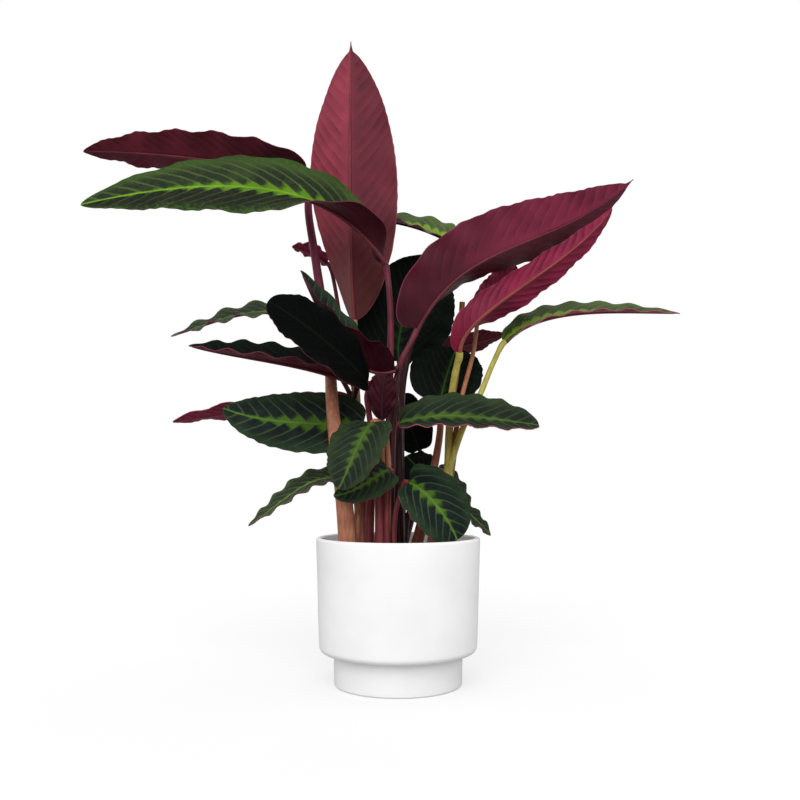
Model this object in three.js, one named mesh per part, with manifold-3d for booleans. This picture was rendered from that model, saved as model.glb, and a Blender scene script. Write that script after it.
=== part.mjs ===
import * as THREE from 'three';
import { mergeVertices } from 'three/addons/utils/BufferGeometryUtils.js';
import Module from 'manifold-3d';

// Potted prayer plant with long patterned leaves, in a stepped white pot.
// Millimetres, +Z up, +X to the viewer's right, the viewer at -Y. The pot stands on z = 0.

// Pot
const potHeight = 157;
const rimRadius = 89.5;
const bodyFootRadius = 85.5;
const footRadius = 69;
const footHeight = 34;
const wall = 6;
const lipOuter = 2.5;
const lipInner = 2;
const floorThickness = 6;
const potSegments = 36;

// Soil
const soilTop = 143;
const clearance = 0.3;
const crownDepth = 38;
const neck = 5;

// Leaves and stems
const bladeThickness = 0.8;
const blendGap = 0.3;
const baseHalf = 2.7;
const tipHalf = 0.5;
const sideShift = 1.1;
const waveEase = 6;
const crownSides = 12;

const colours = {
  pot: { color: 0xf2f1ee, roughness: 0.35, metalness: 0 },
  soil: { color: 0x3a2a20, roughness: 0.95, metalness: 0 },
  stem: { color: 0x8a5340, roughness: 0.55, metalness: 0 },
  green: { color: 0x1f3a22, roughness: 0.5, metalness: 0 },
  wine: { color: 0x6e2338, roughness: 0.5, metalness: 0 },
};

const group = new THREE.Group();
group.name = 'potted_prayer_plant';

const vec = (p) => new THREE.Vector3(p[0], p[1], p[2]);

function addMesh(name, geometry, slot) {
  const clean = geometry.clone();
  clean.deleteAttribute('uv');
  clean.deleteAttribute('normal');
  const welded = mergeVertices(clean, 1e-4);
  welded.computeVertexNormals();
  const mesh = new THREE.Mesh(welded, new THREE.MeshStandardMaterial(colours[slot]));
  mesh.name = name;
  group.add(mesh);
  return mesh;
}

// A closed skin over rings of equal count, with a fan at each end.
function loft(rings) {
  const n = rings[0].length;
  const verts = [];
  const tris = [];
  for (const ring of rings) {
    for (const p of ring) verts.push(p.x, p.y, p.z);
  }
  for (let i = 0; i + 1 < rings.length; i++) {
    for (let j = 0; j < n; j++) {
      const a = i * n + j;
      const b = i * n + (j + 1) % n;
      tris.push(a, b, b + n, a, b + n, a + n);
    }
  }
  const last = (rings.length - 1) * n;
  for (let j = 1; j + 1 < n; j++) {
    tris.push(0, j + 1, j);
    tris.push(last, last + j, last + j + 1);
  }
  const geometry = new THREE.BufferGeometry();
  geometry.setAttribute('position', new THREE.Float32BufferAttribute(verts, 3));
  geometry.setIndex(tris);
  return geometry;
}

// A body turned about Z from a closed profile of [radius, height].
function turned(profile, segments) {
  const points = profile.map(([r, z]) => new THREE.Vector2(r, z));
  const lathe = new THREE.LatheGeometry(points, segments);
  lathe.rotateX(Math.PI / 2);
  return lathe;
}

function quarter(cx, cz, radius, from, to, steps) {
  const out = [];
  for (let i = 0; i <= steps; i++) {
    const a = THREE.MathUtils.degToRad(from + (to - from) * i / steps);
    out.push([cx + radius * Math.cos(a), cz + radius * Math.sin(a)]);
  }
  return out;
}

// Solid operations
const wasm = await Module();
wasm.setup();

function toSolid(geometry) {
  const clean = geometry.clone();
  clean.deleteAttribute('uv');
  clean.deleteAttribute('normal');
  const welded = mergeVertices(clean, 1e-4);
  const mesh = new wasm.Mesh({
    numProp: 3,
    vertProperties: new Float32Array(welded.attributes.position.array),
    triVerts: new Uint32Array(welded.index.array),
  });
  return new wasm.Manifold(mesh);
}

function fromSolid(solid) {
  const mesh = solid.getMesh();
  const geometry = new THREE.BufferGeometry();
  geometry.setAttribute('position', new THREE.Float32BufferAttribute(mesh.vertProperties, 3));
  geometry.setIndex(Array.from(mesh.triVerts));
  return geometry;
}

// The pot: straight upper body with a rounded lower corner, set in to a narrower foot.
const cornerRadius = 7;
const bodyBottom = footHeight + 1;
const innerFloor = 48;
const potProfile = [
  [0, 0],
  [footRadius - 2.5, 0],
  ...quarter(footRadius - 2, 2, 2, -60, 0, 2),
  [footRadius + 0.6, footHeight - 3],
  ...quarter(footRadius + 3.6, footHeight - 2, 3, 180, 90, 2),
  ...quarter(bodyFootRadius - cornerRadius, bodyBottom + cornerRadius, cornerRadius, -80, 0, 3),
  [rimRadius - 2, 100],
  ...quarter(rimRadius - lipOuter, potHeight - lipOuter, lipOuter, 0, 90, 2),
  ...quarter(rimRadius - wall + lipInner, potHeight - lipInner, lipInner, 90, 180, 2),
  [rimRadius - wall - 2, 100],
  [bodyFootRadius - wall - 1, innerFloor + 6],
  [bodyFootRadius - wall - 6, innerFloor],
  [footRadius - wall, innerFloor - 6],
  [footRadius - wall - 1, floorThickness],
  [0, floorThickness],
];
addMesh('pot', turned(potProfile, potSegments), 'pot');

// Midrib: a cubic that passes through its base, two points on the way and its tip.
function through(points) {
  const [p0, a, b, p3] = points.map(vec);
  const c1 = p0.clone().multiplyScalar(-5).addScaledVector(a, 18);
  c1.addScaledVector(b, -9).addScaledVector(p3, 2).divideScalar(6);
  const c2 = p0.clone().multiplyScalar(2).addScaledVector(a, -9);
  c2.addScaledVector(b, 18).addScaledVector(p3, -5).divideScalar(6);
  return new THREE.CubicBezierCurve3(p0, c1, c2, p3);
}

function pair(value) {
  return Array.isArray(value) ? value : [value, value];
}

function blend(list, s) {
  const spans = list.length - 1;
  const k = Math.min(Math.floor(s * spans), spans - 1);
  return vec(list[k]).lerp(vec(list[k + 1]), s * spans - k);
}

// Point of a blade at s along the midrib (0 to 1) and v across it (-1 to 1).
function bladePoint(leaf, curve, s, v) {
  const here = curve.getPoint(s);
  const along = curve.getTangent(s);
  const up = blend(leaf.top, s);
  up.addScaledVector(along, -up.dot(along)).normalize();
  const across = along.clone().cross(up);
  const [a, b] = leaf.shape;
  const peak = a / (a + b);
  const crest = peak ** a * (1 - peak) ** b;
  const run = Math.min(1, s / (leaf.ends ?? 1));
  const round = run ** a * (1 - run) ** b / crest;
  const half = leaf.width * round + (baseHalf - tipHalf) * (1 - s) ** 8 + tipHalf;
  const side = v < 0 ? 0 : 1;
  const sign = v < 0 ? -1 : 1;
  const reach = Math.abs(v);
  const f0 = pair(leaf.fold)[side];
  const f1 = pair(leaf.foldTip ?? leaf.fold)[side];
  const q = THREE.MathUtils.smoothstep(s, 0, leaf.foldEnd ?? 1);
  const cup = pair(leaf.curl ?? 0)[side] * reach / 2;
  const angle = THREE.MathUtils.degToRad(f0 + (f1 - f0) * q + cup);
  const ease = Math.min(1, waveEase * s * (1 - s));
  const ripple = Math.sin(2 * Math.PI * leaf.waves * s + sideShift * sign);
  const lift = leaf.wave * reach ** 3 * ripple * ease;
  const drop = leaf.lobe * (1 - s) ** 3 * reach * reach * leaf.width * round;
  here.addScaledVector(across, sign * reach * half * Math.cos(angle));
  here.addScaledVector(up, reach * half * Math.sin(angle) + lift);
  here.addScaledVector(along, -drop);
  return here;
}

// Both faces of a blade share one triangulation, so its waves keep an even thickness.
function bladeGeometry(leaf) {
  const curve = through(leaf.mid);
  const rows = leaf.rows;
  const across = leaf.across;
  const grid = [];
  for (let i = 0; i <= rows; i++) {
    const t = i / rows;
    const s = 0.45 * t + 0.55 * (1 - Math.cos(Math.PI * t)) / 2;
    grid.push(across.map((v) => bladePoint(leaf, curve, s, v)));
  }
  const cols = across.length;
  const flat = grid.flat();
  const faces = [];
  for (let i = 0; i < rows; i++) {
    for (let j = 0; j + 1 < cols; j++) {
      const a = i * cols + j;
      const b = a + 1;
      const c = b + cols;
      const d = a + cols;
      if (j < (cols - 1) / 2) {
        faces.push([a, b, d], [b, c, d]);
      } else {
        faces.push([a, b, c], [a, c, d]);
      }
    }
  }
  const normals = flat.map(() => new THREE.Vector3());
  for (const [a, b, c] of faces) {
    const u = flat[b].clone().sub(flat[a]);
    const w = flat[c].clone().sub(flat[a]);
    const n = u.cross(w);
    for (const k of [a, b, c]) normals[k].add(n);
  }
  const half = bladeThickness / 2;
  const count = flat.length;
  const verts = [];
  for (const sign of [1, -1]) {
    flat.forEach((p, k) => {
      const q = p.clone().addScaledVector(normals[k].normalize(), sign * half);
      verts.push(q.x, q.y, q.z);
    });
  }
  const tris = [];
  for (const [a, b, c] of faces) {
    tris.push(a, b, c);
    tris.push(a + count, c + count, b + count);
  }
  const edge = [];
  for (let j = 0; j < cols; j++) edge.push(j);
  for (let i = 1; i <= rows; i++) edge.push(i * cols + cols - 1);
  for (let j = cols - 2; j >= 0; j--) edge.push(rows * cols + j);
  for (let i = rows - 1; i >= 1; i--) edge.push(i * cols);
  edge.forEach((a, k) => {
    const b = edge[(k + 1) % edge.length];
    tris.push(a, a + count, b + count, a, b + count, b);
  });
  const geometry = new THREE.BufferGeometry();
  geometry.setAttribute('position', new THREE.Float32BufferAttribute(verts, 3));
  geometry.setIndex(tris);
  return geometry;
}

// Leaf data: midrib through four points, half width, the way the green face looks, and its form.
const wide = [-1, -0.7, -0.35, 0, 0.35, 0.7, 1];
const slim = [-1, -0.55, 0, 0.55, 1];
const leaves = {
  leaf_01: {
    mid: [[-50, 15, 399], [-55, 20, 510], [-56, 28, 622], [-56, 36, 735]],
    width: 55, top: [[0, 1, 0.05], [0, 1, 0.1]],
    fold: [8, 68], foldTip: [8, 25], foldEnd: 0.65,
    shape: [0.65, 0.7], lobe: 0.05, ends: 0.965,
    wave: 2, waves: 5, slot: 'wine',
  },
  leaf_02: {
    mid: [[-105, 8, 566], [-192, 16, 582], [-281, 22, 594], [-366, 28, 599]],
    width: 34, top: [[0, 0.5, 0.87], [0, 0.6, 0.8]],
    fold: 12, shape: [0.42, 0.75],
    wave: 3, waves: 6, slot: 'wine',
  },
  leaf_03: {
    mid: [[-16, -20, 458], [-92, -50, 517], [-204, -62, 529], [-336, -60, 510]],
    width: 43, top: [[-0.5, -0.1, 0.85], [-0.1, -0.85, 0.45], [0, -0.88, 0.45]],
    fold: [70, 46], foldTip: [8, 4], foldEnd: 0.58,
    shape: [0.65, 0.72], lobe: 0.05,
    wave: 1.8, waves: 7, slot: 'green',
  },
  leaf_04: {
    mid: [[60, 38, 497], [31, 52, 513], [-12, 68, 527], [-64, 74, 524]],
    width: 34, top: [[0, -0.35, 0.93], [0, -0.35, 0.93]],
    fold: 15, shape: [0.45, 0.8],
    wave: 2, waves: 5, slot: 'green',
  },
  leaf_05: {
    mid: [[21, -30, 382], [86, -34, 452], [169, -26, 491], [262, -12, 553]],
    width: 47, top: [[-0.36, 0.8, 0.42], [-0.36, 0.8, 0.42]],
    fold: [58, 35], foldTip: 25, shape: [0.42, 0.65], ends: 0.975,
    wave: 2, waves: 8, lobe: 0.6, slot: 'wine',
  },
  leaf_06: {
    mid: [[67, -14, 359], [100, -24, 404], [170, -30, 454], [233, -32, 514]],
    width: 24, top: [[-0.3, 0.85, 0.4], [-0.2, 0.85, 0.4]],
    fold: [80, 8], foldTip: [15, 64], foldEnd: 0.5, shape: [0.65, 0.8], lobe: 0,
    wave: 2, waves: 6, slot: 'wine',
  },
  leaf_07: {
    mid: [[94, 22, 404], [106, 27, 422], [119, 30, 442], [136, 30, 465]],
    width: 20, top: [[0, 0.85, 0.4], [0, 0.9, 0.4]],
    fold: 12, shape: [0.5, 0.6],
    wave: 2, waves: 4, slot: 'wine',
  },
  leaf_08: {
    mid: [[1, 52, 357], [4, 66, 401], [20, 80, 447], [38, 94, 493]],
    width: 60, top: [[0.1, -0.8, 0.6], [0.1, -0.8, 0.6]],
    fold: 12, shape: [0.55, 0.75],
    wave: 2, waves: 5, slot: 'green',
  },
  leaf_09: {
    mid: [[-32, -56, 321], [-62, -88, 350], [-98, -102, 378], [-130, -106, 398]],
    width: 30, top: [[0.3, -0.8, 0.5], [0.1, -0.85, 0.5]],
    fold: 8, shape: [0.5, 0.55],
    wave: 2, waves: 4, slot: 'green',
  },
  leaf_10: {
    mid: [[-86, 74, 478], [-99, 75, 488], [-113, 75, 494], [-128, 74, 498]],
    width: 14, top: [[0, 0.4, 0.9], [0, 0.4, 0.9]],
    fold: 10, shape: [0.5, 0.7],
    wave: 2, waves: 4, slot: 'wine',
  },
  leaf_11: {
    mid: [[-3, -40, 337], [-42, -44, 343], [-76, -40, 385], [-106, -30, 446]],
    width: 34, top: [[0.3, -0.1, 0.95], [0.75, -0.2, 0.6]],
    fold: [72, 25], foldTip: [26, 60], shape: [0.45, 0.8],
    wave: 2, waves: 5, slot: 'wine',
  },
  leaf_12: {
    mid: [[-17, -54, 283], [-17, -59, 298], [-16, -61, 315], [-13, -60, 330]],
    width: 15, top: [[0, 0.9, 0.3], [0, 0.9, 0.3]],
    fold: 12, shape: [0.75, 0.45],
    wave: 1.5, waves: 3, slot: 'wine',
  },
  leaf_13: {
    mid: [[-104, 6, 391], [-152, 8, 407], [-205, 10, 397], [-256, 12, 380]],
    width: 24, top: [[0, -0.5, 0.87], [0, -0.4, 0.9]],
    fold: 10, shape: [0.5, 0.8],
    wave: 3, waves: 5, slot: 'green',
  },
  leaf_14: {
    mid: [[-50, -14, 325], [-104, -34, 340], [-166, -46, 350], [-222, -48, 361]],
    width: 26, top: [[0, 0, 1], [0, -0.1, 0.99]],
    fold: [10, 54], shape: [0.5, 0.8],
    wave: 2.2, waves: 6, slot: 'wine',
  },
  leaf_15: {
    mid: [[-27, -60, 279], [-37, -80, 262], [-47, -91, 238], [-59, -96, 211]],
    width: 31, top: [[-0.3, -0.75, 0.6], [-0.3, -0.95, 0.2]],
    fold: 6, shape: [0.42, 0.6],
    wave: 2, waves: 5, slot: 'green',
  },
  leaf_16: {
    mid: [[-54, 28, 312], [-113, 38, 305], [-192, 44, 296], [-260, 44, 285]],
    width: 22, top: [[0, 0.3, 0.95], [0, 0.4, 0.9]],
    fold: 8, shape: [0.5, 0.7],
    wave: 2, waves: 5, slot: 'wine',
  },
  leaf_17: {
    mid: [[-38, -18, 278], [-88, -18, 280], [-140, -19, 284], [-190, -18, 297]],
    width: 37, top: [[0, -0.88, 0.45], [0, -0.9, 0.4]],
    fold: 5, shape: [0.38, 0.66],
    wave: 1, waves: 6, slot: 'green',
  },
  leaf_18: {
    mid: [[-57, -8, 216], [-90, -14, 218], [-124, -24, 197], [-158, -36, 171]],
    width: 23, top: [[0, -0.4, 0.91], [-0.6, -0.35, 0.7]],
    fold: 10, shape: [0.4, 0.7],
    wave: 2, waves: 6, slot: 'green',
  },
  leaf_19: {
    mid: [[-10, -46, 230], [-24, -58, 222], [-44, -65, 210], [-66, -70, 204]],
    width: 21, top: [[0, -0.9, 0.4], [-0.1, -0.9, 0.4]],
    fold: 8, shape: [0.45, 0.75],
    wave: 1.5, waves: 4, slot: 'green',
  },
  leaf_20: {
    mid: [[2, -34, 280], [47, -42, 287], [97, -46, 284], [149, -44, 277]],
    width: 33, top: [[0, -0.62, 0.78], [0, -0.62, 0.78]],
    fold: 2, curl: [20, 32], shape: [0.45, 0.5],
    wave: 2, waves: 6, slot: 'green',
  },
  leaf_21: {
    mid: [[12, -44, 217], [28, -54, 206], [46, -60, 185], [61, -56, 158]],
    width: 32, top: [[0.1, -0.8, 0.6], [0.2, -0.95, 0.3]],
    fold: [60, 8], foldTip: [0, 8], foldEnd: 0.9,
    shape: [0.45, 0.42],
    wave: 1.5, waves: 5, slot: 'green',
  },
  leaf_22: {
    mid: [[46, 12, 231], [58, 13, 222], [69, 12, 206], [79, 10, 189]],
    width: 16, top: [[0.4, -0.3, 0.8], [0.4, -0.3, 0.8]],
    fold: 10, shape: [0.5, 0.6],
    wave: 2, waves: 4, slot: 'green',
  },
  leaf_23: {
    mid: [[58, -26, 192], [70, -26, 187], [84, -24, 176], [99, -20, 160]],
    width: 13, top: [[0, -0.5, 0.85], [0.4, -0.6, 0.7]],
    fold: 10, shape: [0.5, 0.7],
    wave: 2, waves: 4, slot: 'green',
  },
  leaf_24: {
    mid: [[48, 19, 309], [54, 29, 333], [61, 39, 354], [68, 48, 371]],
    width: 42, top: [[0, -0.75, 0.65], [0, -0.75, 0.65]],
    fold: 12, shape: [0.42, 0.6],
    wave: 2, waves: 5, slot: 'green',
  },
  leaf_25: {
    mid: [[21, 72, 364], [56, 78, 374], [92, 80, 383], [127, 80, 393]],
    width: 20, top: [[0, 0.6, 0.8], [0, 0.6, 0.8]],
    fold: 5, shape: [0.5, 0.7],
    wave: 2, waves: 4, slot: 'wine',
  },
  leaf_26: {
    mid: [[120, 8, 374], [172, 14, 402], [243, 18, 409], [320, 18, 407]],
    width: 29, top: [[0, -0.25, 0.95], [0, -0.25, 0.95]],
    fold: [20, 10], shape: [0.65, 0.8],
    wave: 1.6, waves: 7, slot: 'green',
  },
  leaf_27: {
    mid: [[25, 60, 253], [16, 64, 276], [11, 68, 298], [14, 74, 321]],
    width: 24, top: [[0, -0.85, 0.5], [0, -0.85, 0.5]],
    fold: 10, shape: [0.45, 0.6],
    wave: 1.5, waves: 4, slot: 'green',
  },
  leaf_28: {
    mid: [[29, 30, 219], [23, 36, 230], [16, 42, 239], [9, 50, 246]],
    width: 22, top: [[0, -0.8, 0.6], [0, -0.8, 0.6]],
    fold: 10, shape: [0.45, 0.6],
    wave: 1.5, waves: 4, slot: 'green',
  },
};

for (const [name, leaf] of Object.entries(leaves)) {
  const long = through(leaf.mid).getLength() > 150;
  leaf.lobe ??= 0.25;
  leaf.across ??= long ? wide : slim;
  leaf.rows ??= Math.min(22, Math.max(10, Math.round(leaf.waves * 2.7)));
  addMesh(name, bladeGeometry(leaf), leaf.slot);
}

// Stems rise from six crowns in the soil. Each petiole lists its way up from the crown, then
// runs into the base of its leaf. Radii are at the crown and at the leaf.
const crowns = {
  stem_left: {
    at: [-50, -38], radius: 12,
    petioles: [
      {
        leaf: 'leaf_02',
        r: [10, 4.2],
        path: [
          [-52, -41, 143.5], [-57, -48, 202], [-64, -49, 250], [-71, -28, 302], [-76, 3, 345],
          [-82, 8, 392], [-94, 5, 472], [-102, 7, 526],
        ],
      },
      { leaf: 'leaf_18', path: [[-46, -35, 143.5], [-44, -26, 190]], r: [5, 2.6] },
    ],
  },
  stem_rear_left: {
    at: [-36, -12], radius: 10.5,
    petioles: [
      {
        leaf: 'leaf_01',
        r: [9, 3.4],
        path: [
          [-37, -12, 143.5], [-41, 0, 197], [-46, 15, 298], [-49, 16, 360],
        ],
      },
      { leaf: 'leaf_17', path: [[-33, -14, 143.5], [-29, -15, 230]], r: [7, 2.6] },
      { leaf: 'leaf_16', path: [[-34, -6, 143.5], [-37, 8, 230]], r: [6, 2.4] },
      { leaf: 'leaf_14', path: [[-38, -14, 143.5], [-45, 5, 230], [-52, 8, 296]], r: [6, 2.8] },
      {
        leaf: 'leaf_13',
        r: [5.5, 2.4],
        path: [
          [-33, -12, 143.5], [-39, 8, 230], [-44, 10, 290], [-74, 23, 350],
        ],
      },
      { leaf: 'leaf_10', path: [[-36, -6, 143.5], [-46, 28, 290], [-67, 60, 400]], r: [4.5, 2.4] },
    ],
  },
  stem_centre: {
    at: [-14, -29], radius: 13,
    petioles: [
      {
        leaf: 'leaf_05',
        r: [10.5, 2.9],
        path: [
          [-16, -28, 143.5], [-13, -27, 219], [-7, -28, 278], [2, -32, 343], [12, -32, 364],
        ],
      },
      {
        leaf: 'leaf_03',
        r: [7, 3.2],
        path: [
          [-10, -24, 143.5], [-9, -22, 262], [-9, -20, 335], [-8, -20, 393], [-10, -20, 427],
        ],
      },
      {
        leaf: 'leaf_09',
        r: [6.5, 2.8],
        path: [
          [-18, -34, 143.5], [-22, -33, 230], [-31, -40, 290], [-33, -48, 308],
        ],
      },
      { leaf: 'leaf_12', path: [[-16, -26, 143.5], [-15, -30, 220], [-17, -44, 262]], r: [4.5, 2.4] },
      { leaf: 'leaf_11', path: [[-8, -34, 143.5], [-6, -36, 270], [-2, -39, 310]], r: [5, 2.8] },
      { leaf: 'leaf_15', path: [[-12, -36, 143.5], [-10, -38, 240], [-16, -46, 278]], r: [4.5, 2.4] },
      { leaf: 'leaf_20', path: [[-8, -32, 143.5], [-6, -32, 230], [-5, -32, 262]], r: [4.5, 2.6] },
      { leaf: 'leaf_19', path: [[-12, -38, 143.5], [-11, -40, 200]], r: [4, 2.2] },
      { leaf: 'leaf_21', path: [[-6, -34, 143.5], [-2, -38, 190]], r: [4, 2.4] },
    ],
  },
  stem_back: {
    at: [1, 12], radius: 10,
    petioles: [
      { leaf: 'leaf_08', path: [[0, 8, 143.5], [1, 10, 274], [1, 28, 326]], r: [8, 2.9] },
      {
        leaf: 'leaf_04',
        r: [6.5, 2.8],
        path: [
          [3, 14, 143.5], [3, 20, 300], [8, 20, 345], [24, 24, 400], [46, 28, 450],
        ],
      },
      { leaf: 'leaf_27', path: [[6, 18, 143.5], [20, 50, 190], [26, 60, 230]], r: [4, 2.2] },
      { leaf: 'leaf_28', path: [[6, 12, 143.5], [14, 20, 190]], r: [4, 2.2] },
      { leaf: 'leaf_25', path: [[-3, 18, 143.5], [-20, 50, 250], [-14, 64, 310]], r: [4.5, 2.6] },
    ],
  },
  stem_rear_right: {
    at: [20, -1], radius: 8,
    petioles: [
      { leaf: 'leaf_24', path: [[19, 0, 143.5], [38, 4, 224], [47, 14, 275]], r: [6.5, 3.6] },
      { leaf: 'leaf_22', path: [[22, -2, 143.5], [36, 8, 200]], r: [4, 2.2] },
    ],
  },
  stem_right: {
    at: [37, -21], radius: 9,
    petioles: [
      {
        leaf: 'leaf_06',
        r: [7, 3.6],
        path: [
          [35, -20, 143.5], [53, -18, 219], [56, -6, 269], [58, 0, 303], [63, -7, 338],
        ],
      },
      {
        leaf: 'leaf_26',
        r: [5, 3],
        path: [
          [38, -18, 143.5], [54, -18, 225], [70, -12, 274], [89, -4, 310], [105, 4, 347],
        ],
      },
      {
        leaf: 'leaf_07',
        r: [4.5, 2.4],
        path: [
          [40, -18, 143.5], [58, -14, 230], [68, 0, 300], [84, 12, 360],
        ],
      },
      { leaf: 'leaf_23', path: [[38, -24, 143.5], [44, -28, 165]], r: [4, 2] },
    ],
  },
};

const rise = new THREE.Vector3(0, 0, 1);

// A round stem along a smooth path, thicker where it sheathes the crown.
function stemGeometry(points, r0, r1, end = rise) {
  const sides = r0 > 5 ? 8 : 6;
  const curve = new THREE.CatmullRomCurve3(points, false, 'centripetal');
  const steps = Math.max(6, Math.round(curve.getLength() / 26));
  const frames = curve.computeFrenetFrames(steps, false);
  const rings = [];
  for (let i = 0; i <= steps; i++) {
    const t = i / steps;
    const centre = curve.getPointAt(t);
    const radius = r1 + (r0 - r1) * (1 - t) ** 1.6;
    const u = frames.normals[i];
    const w = frames.binormals[i];
    const facing = i === 0 ? rise : end;
    if (i === 0 || i === steps) {
      u.addScaledVector(facing, -u.dot(facing)).normalize();
      w.crossVectors(facing, u);
    }
    const ring = [];
    for (let k = 0; k < sides; k++) {
      const a = 2 * Math.PI * k / sides;
      const p = centre.clone().addScaledVector(u, radius * Math.cos(a));
      ring.push(p.addScaledVector(w, radius * Math.sin(a)));
    }
    rings.push(ring);
  }
  return loft(rings);
}

function crownGeometry(x, y, radius, bottom, top) {
  const rings = [];
  for (const [r, z] of [[radius, bottom], [radius, top - 2], [radius - 2, top]]) {
    const ring = [];
    for (let k = 0; k < crownSides; k++) {
      const a = 2 * Math.PI * k / crownSides;
      ring.push(new THREE.Vector3(x + r * Math.cos(a), y + r * Math.sin(a), z));
    }
    rings.push(ring);
  }
  return loft(rings);
}

// A cut petiole stands beside the leaf_06 stem.
const stub = [[56, -6, 262], [61, 4, 310], [67, 6, 350], [72, 6, 418]];

for (const [name, crown] of Object.entries(crowns)) {
  const [x, y] = crown.at;
  let solid = toSolid(crownGeometry(x, y, crown.radius, soilTop - crownDepth, soilTop + 4));
  for (const { leaf, path, r } of crown.petioles) {
    const curve = through(leaves[leaf].mid);
    const base = curve.getPoint(0);
    const along = curve.getTangent(0);
    const points = path.map(vec);
    points.push(base.clone().addScaledVector(along, -neck));
    points.push(base.clone().addScaledVector(along, -blendGap));
    solid = solid.add(toSolid(stemGeometry(points, r[0], r[1], along)));
  }
  if (name === 'stem_right') solid = solid.add(toSolid(stemGeometry(stub.map(vec), 3.2, 2.8)));
  addMesh(name, fromSolid(solid), 'stem');
}

// Soil fills the pot up to below the rim, with a plain hole for each crown.
const soilProfile = [
  [0, floorThickness + clearance],
  [footRadius - wall - 1 - clearance, floorThickness + clearance],
  [footRadius - wall - clearance, innerFloor - 6 + clearance],
  [bodyFootRadius - wall - 6 - clearance, innerFloor + clearance],
  [bodyFootRadius - wall - 1 - clearance, innerFloor + 6 + clearance],
  [rimRadius - wall - 2 - clearance, 100],
  [rimRadius - wall - 0.6 - clearance, soilTop - 4],
  [rimRadius - wall - 3, soilTop - 1],
  [rimRadius - wall - 16, soilTop],
  [0, soilTop],
];
let soil = toSolid(turned(soilProfile, potSegments));
for (const crown of Object.values(crowns)) {
  const [x, y] = crown.at;
  const bottom = soilTop - crownDepth - clearance;
  const hole = crownGeometry(x, y, crown.radius + clearance, bottom, soilTop + 20);
  soil = soil.subtract(toSolid(hole));
}
addMesh('soil', fromSolid(soil), 'soil');

export default group;
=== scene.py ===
import bpy
import math
import random
from mathutils import Matrix, Vector, noise


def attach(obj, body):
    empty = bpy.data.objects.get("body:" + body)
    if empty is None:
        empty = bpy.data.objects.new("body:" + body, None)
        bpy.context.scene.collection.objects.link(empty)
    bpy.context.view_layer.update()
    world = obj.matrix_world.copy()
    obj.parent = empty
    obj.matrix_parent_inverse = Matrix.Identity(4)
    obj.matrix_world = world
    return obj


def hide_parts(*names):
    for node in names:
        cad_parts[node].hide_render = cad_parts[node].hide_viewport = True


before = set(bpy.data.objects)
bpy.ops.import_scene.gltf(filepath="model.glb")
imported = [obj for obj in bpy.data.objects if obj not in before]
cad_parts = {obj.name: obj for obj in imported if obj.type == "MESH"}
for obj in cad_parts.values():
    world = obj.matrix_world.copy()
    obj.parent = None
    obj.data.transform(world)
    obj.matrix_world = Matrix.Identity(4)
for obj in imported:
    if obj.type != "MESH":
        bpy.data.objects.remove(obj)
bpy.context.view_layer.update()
mm = 0.001
print("frame loaded")


def clearSelection():
    for thing in list(bpy.context.selected_objects):
        thing.select_set(False)


def makeActive(thing):
    clearSelection()
    thing.select_set(True)
    bpy.context.view_layer.objects.active = thing


def joinPieces(things, name):
    clearSelection()
    for thing in things:
        thing.select_set(True)
    bpy.context.view_layer.objects.active = things[0]
    if len(things) > 1:
        bpy.ops.object.join()
    things[0].name = name
    things[0].data.name = name
    return things[0]


def softStep(low, high, value):
    t = min(1.0, max(0.0, (value - low) / (high - low)))
    return t * t * (3 - 2 * t)


# Colours are given as they look on a screen, 0 to 255
def tint(red, green, blue):
    return tuple((c / 255) ** 2.2 for c in (red, green, blue)) + (1,)


# Node helpers: each gives back the socket that the next node reads
def newMaterial(name):
    material = bpy.data.materials.new(name)
    material.use_nodes = True
    tree = material.node_tree
    tree.nodes.clear()
    shader = tree.nodes.new("ShaderNodeBsdfPrincipled")
    output = tree.nodes.new("ShaderNodeOutputMaterial")
    tree.links.new(shader.outputs[0], output.inputs[0])
    return material, tree, shader


def feed(tree, socket, value):
    if isinstance(value, bpy.types.NodeSocket):
        tree.links.new(value, socket)
    else:
        socket.default_value = value


def calc(tree, operation, first, second=0.0, third=0.0):
    node = tree.nodes.new("ShaderNodeMath")
    node.operation = operation
    for socket, value in zip(node.inputs, (first, second, third)):
        feed(tree, socket, value)
    return node.outputs[0]


def ramp(tree, value, low, high, bottom=0.0, top=1.0):
    node = tree.nodes.new("ShaderNodeMapRange")
    node.interpolation_type = "SMOOTHSTEP"
    for socket, number in zip(node.inputs, (value, low, high, bottom, top)):
        feed(tree, socket, number)
    return node.outputs[0]


def mixColour(tree, factor, first, second, mode="MIX"):
    node = tree.nodes.new("ShaderNodeMix")
    node.data_type = "RGBA"
    node.blend_type = mode
    feed(tree, node.inputs[0], factor)
    feed(tree, node.inputs[6], first)
    feed(tree, node.inputs[7], second)
    return node.outputs[2]


def readAttribute(tree, name):
    node = tree.nodes.new("ShaderNodeAttribute")
    node.attribute_type = "GEOMETRY"
    node.attribute_name = name
    return node.outputs["Fac"]


def objectPlace(tree):
    return tree.nodes.new("ShaderNodeTexCoord").outputs["Object"]


def cloud(tree, place, size, detail=3.0, stretch=(1, 1, 1)):
    mapping = tree.nodes.new("ShaderNodeMapping")
    mapping.inputs["Scale"].default_value = stretch
    feed(tree, mapping.inputs[0], place)
    node = tree.nodes.new("ShaderNodeTexNoise")
    feed(tree, node.inputs["Vector"], mapping.outputs[0])
    node.inputs["Scale"].default_value = 1 / size
    node.inputs["Detail"].default_value = detail
    return node.outputs[0]


def relief(tree, shader, height, depth, strength=1.0):
    node = tree.nodes.new("ShaderNodeBump")
    node.inputs["Strength"].default_value = strength
    node.inputs["Distance"].default_value = depth
    feed(tree, node.inputs["Height"], height)
    tree.links.new(node.outputs[0], shader.inputs["Normal"])


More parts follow.
